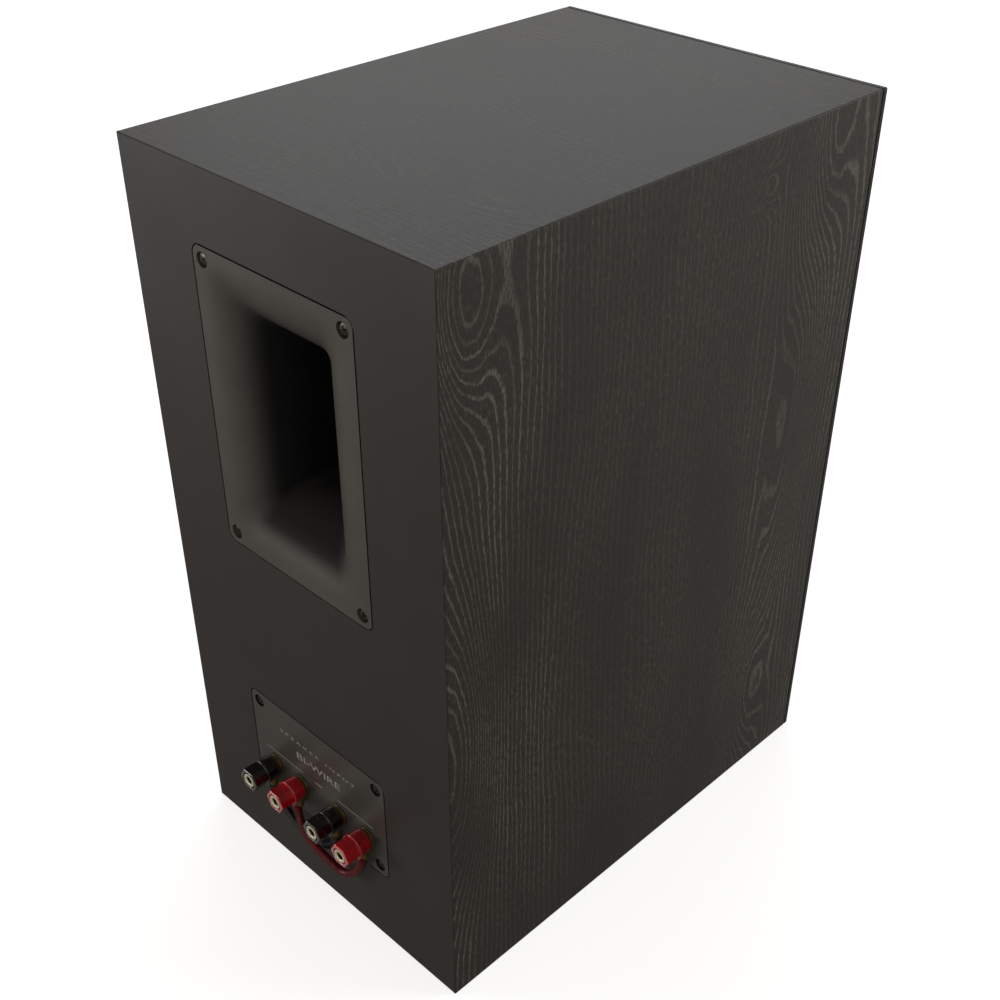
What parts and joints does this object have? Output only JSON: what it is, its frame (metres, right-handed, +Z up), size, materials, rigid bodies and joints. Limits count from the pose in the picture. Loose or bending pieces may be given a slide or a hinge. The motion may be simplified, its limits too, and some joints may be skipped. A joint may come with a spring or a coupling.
{
  "type": "bookshelf speaker",
  "caption": "Ported bookshelf speaker with a cone woofer, dome tweeter, flared rear port and screw-down binding posts joined by jumper leads.",
  "frame": {"origin": "middle of the cabinet's underside", "axes": "+Z up, the front baffle faces -Y and the terminals and port face +Y"},
  "size_m": [0.202, 0.3078, 0.4],
  "materials": {
    "vinyl_wrap": "black-brown oak-grain vinyl over MDF, satin",
    "back_paint": "matt brown-black finish over MDF",
    "fascia_black": "satin black sheet",
    "moulded_plastic": "fine-textured brown-black moulding",
    "screw_black": "black oxide steel",
    "gold_plate": "gold-plated brass, polished",
    "knob_black": "clear black acrylic",
    "knob_red": "clear red acrylic",
    "cable_red": "dark red soft insulation",
    "cable_black": "black soft insulation",
    "cast_frame": "powder-coated casting",
    "soft_rubber": "matt black rubber",
    "cone_skin": "dark grey woven cone",
    "spider_cloth": "resin-dipped cloth",
    "copper_wire": "enamelled winding",
    "ferrite": "sintered ferrite",
    "steel": "zinc-plated steel",
    "circuit_board": "green laminate",
    "capacitor_sleeve": "film capacitor sleeve"
  },
  "bodies": {
    "root": {"left_side_panel": "vinyl_wrap", "right_side_panel": "vinyl_wrap", "top_panel": "vinyl_wrap", "bottom_panel": "vinyl_wrap", "back_panel": "back_paint", "front_baffle": "back_paint", "front_fascia": "fascia_black", "woofer_trim_ring": "fascia_black", "tweeter_waveguide": "fascia_black", "port_flare": "moulded_plastic", "port_tube": "moulded_plastic", "terminal_plate": "moulded_plastic", "port_screw_1": "screw_black", "port_screw_2": "screw_black", "port_screw_3": "screw_black", "port_screw_4": "screw_black", "plate_screw_1": "screw_black", "plate_screw_2": "screw_black", "plate_screw_3": "screw_black", "plate_screw_4": "screw_black", "post_1_stud": "gold_plate", "post_1_nut": "gold_plate", "post_2_stud": "gold_plate", "post_2_nut": "gold_plate", "post_3_stud": "gold_plate", "post_3_nut": "gold_plate", "post_4_stud": "gold_plate", "post_4_nut": "gold_plate", "red_jumper": "cable_red", "black_jumper": "cable_black", "woofer_lead": "cable_black", "tweeter_lead": "cable_black", "woofer_basket": "cast_frame", "woofer_surround": "soft_rubber", "woofer_spider": "spider_cloth", "tweeter_surround": "spider_cloth", "crossover_woofer_coil": "copper_wire", "crossover_tweeter_coil": "copper_wire", "woofer_magnet": "ferrite", "tweeter_magnet": "ferrite", "woofer_top_plate": "steel", "woofer_yoke": "steel", "tweeter_top_plate": "steel", "tweeter_yoke": "steel", "crossover_board": "circuit_board", "crossover_capacitor_1": "capacitor_sleeve", "crossover_capacitor_2": "capacitor_sleeve"},
    "woofer_moving": {"woofer_cone": "cone_skin", "woofer_dust_cap": "cone_skin", "woofer_voice_coil": "copper_wire"},
    "tweeter_moving": {"tweeter_dome": "spider_cloth", "tweeter_voice_coil": "copper_wire"},
    "post_1_clamp": {"post_1_washer": "gold_plate"},
    "post_1_cap": {"post_1_knob": "knob_black"},
    "post_2_clamp": {"post_2_washer": "gold_plate"},
    "post_2_cap": {"post_2_knob": "knob_red"},
    "post_3_clamp": {"post_3_washer": "gold_plate"},
    "post_3_cap": {"post_3_knob": "knob_black"},
    "post_4_clamp": {"post_4_washer": "gold_plate"},
    "post_4_cap": {"post_4_knob": "knob_red"}
  },
  "joints": [
    {"name": "woofer_stroke", "type": "slide", "parent": "root", "child": "woofer_moving", "axis": [0, -1, 0], "range_m": [-0.006, 0.006], "stiffness_N_per_m": 1000, "deforming": ["woofer_surround", "woofer_spider"]},
    {"name": "tweeter_stroke", "type": "slide", "parent": "root", "child": "tweeter_moving", "axis": [0, -1, 0], "range_m": [-0.0003, 0.0003], "stiffness_N_per_m": 300, "deforming": ["tweeter_surround"]},
    {"name": "post_1_lift", "type": "slide", "parent": "root", "child": "post_1_clamp", "axis": [0, 1, 0], "range_m": [0, 0.0045]},
    {"name": "post_1_turn", "type": "hinge", "parent": "post_1_clamp", "child": "post_1_cap", "pos_m": [0.0376, 0.1525, 0.068], "axis": [0, 1, 0], "range_deg": [0, 1620]},
    {"name": "post_2_lift", "type": "slide", "parent": "root", "child": "post_2_clamp", "axis": [0, 1, 0], "range_m": [0, 0.0045]},
    {"name": "post_2_turn", "type": "hinge", "parent": "post_2_clamp", "child": "post_2_cap", "pos_m": [0.0152, 0.1525, 0.068], "axis": [0, 1, 0], "range_deg": [0, 1620]},
    {"name": "post_3_lift", "type": "slide", "parent": "root", "child": "post_3_clamp", "axis": [0, 1, 0], "range_m": [0, 0.0045]},
    {"name": "post_3_turn", "type": "hinge", "parent": "post_3_clamp", "child": "post_3_cap", "pos_m": [-0.0152, 0.1525, 0.068], "axis": [0, 1, 0], "range_deg": [0, 1620]},
    {"name": "post_4_lift", "type": "slide", "parent": "root", "child": "post_4_clamp", "axis": [0, 1, 0], "range_m": [0, 0.0045]},
    {"name": "post_4_turn", "type": "hinge", "parent": "post_4_clamp", "child": "post_4_cap", "pos_m": [-0.0376, 0.1525, 0.068], "axis": [0, 1, 0], "range_deg": [0, 1620]}
  ],
  "couplings": [
    {"joint": "post_1_turn", "follows": "post_1_lift", "rad_per_m": 6283},
    {"joint": "post_2_turn", "follows": "post_2_lift", "rad_per_m": 6283},
    {"joint": "post_3_turn", "follows": "post_3_lift", "rad_per_m": 6283},
    {"joint": "post_4_turn", "follows": "post_4_lift", "rad_per_m": 6283}
  ]
}
